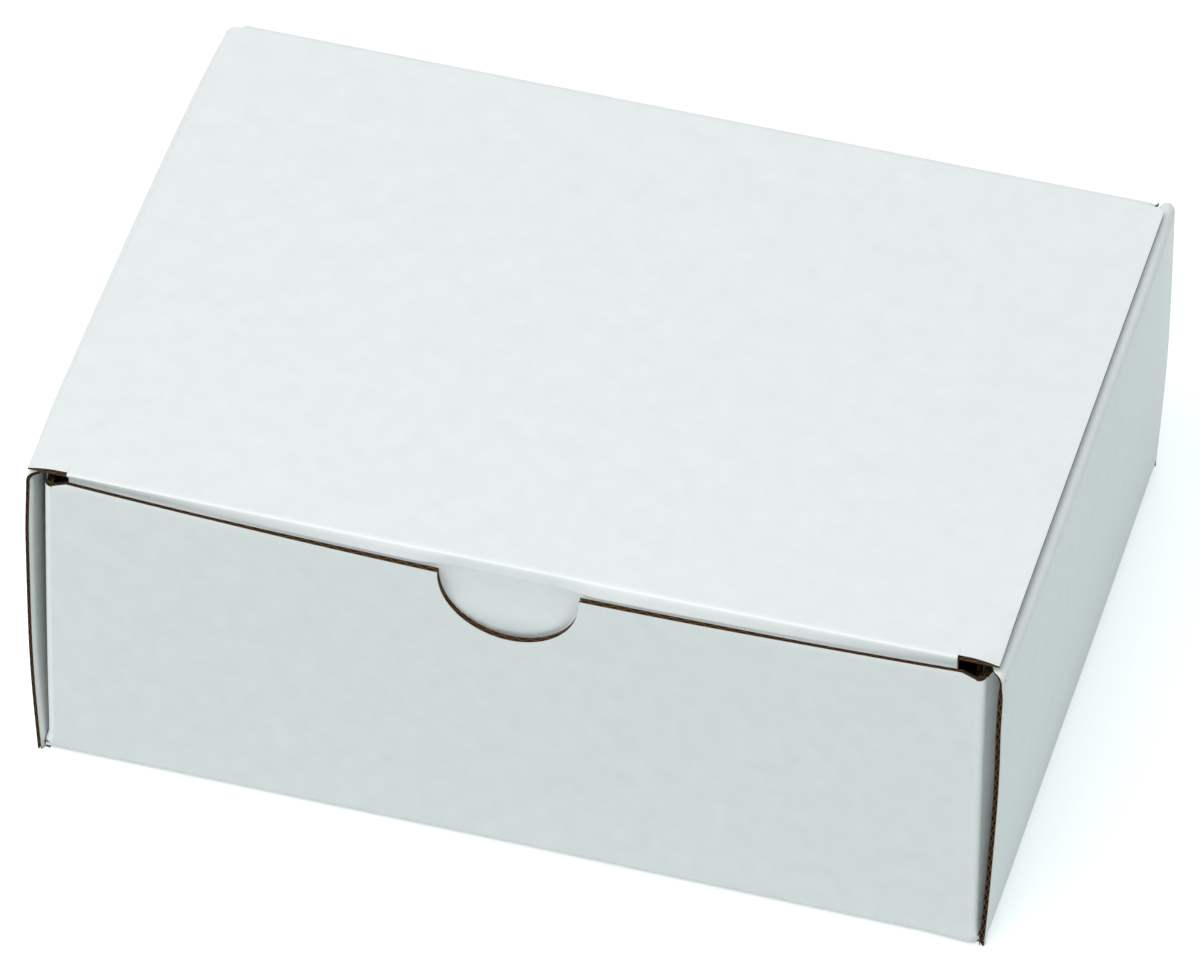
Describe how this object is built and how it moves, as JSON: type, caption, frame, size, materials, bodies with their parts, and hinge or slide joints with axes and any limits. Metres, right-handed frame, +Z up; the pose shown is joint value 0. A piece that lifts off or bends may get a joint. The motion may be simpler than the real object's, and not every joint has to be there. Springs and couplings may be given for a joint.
{
  "type": "tuck box",
  "caption": "White fluted-board box with a lid hinged on its back wall, a tuck flap behind the front wall, a half-round thumb notch and double ends locked into the base.",
  "frame": {"origin": "middle of the underside, on the surface that the box stands on", "axes": "+X along the front to the right, +Y from the front wall to the back wall, +Z up"},
  "size_m": [0.166, 0.115, 0.0645],
  "materials": {
    "board": "matt white paper faces over a brown fluted core",
    "crease": "matt white paper, pressed and bent"
  },
  "bodies": {
    "tray": {"base_panel": "board", "front_wall": "board", "back_wall": "board", "left_end_outer": "board", "right_end_outer": "board", "left_end_rollover": "crease", "right_end_rollover": "crease", "left_end_inner": "board", "right_end_inner": "board", "front_left_corner_flap": "board", "front_right_corner_flap": "board", "back_left_corner_flap": "board", "back_right_corner_flap": "board", "base_front_crease": "crease", "base_back_crease": "crease", "base_left_crease": "crease", "base_right_crease": "crease", "front_left_corner_crease": "crease", "front_right_corner_crease": "crease", "back_left_corner_crease": "crease", "back_right_corner_crease": "crease", "lid_crease": "crease"},
    "lid": {"lid_panel": "board", "tuck_crease": "crease"},
    "tuck": {"tuck_flap": "board"}
  },
  "joints": [
    {"name": "lid_hinge", "type": "hinge", "parent": "tray", "child": "lid", "pos_m": [0, 0.05695, 0.06395], "axis": [-1, 0, 0], "range_deg": [0, 180], "deforming": ["lid_crease"]},
    {"name": "tuck_fold", "type": "hinge", "parent": "lid", "child": "tuck", "pos_m": [0, -0.0541, 0.0625], "axis": [1, 0, 0], "range_deg": [0, 80], "deforming": ["tuck_crease"]}
  ]
}
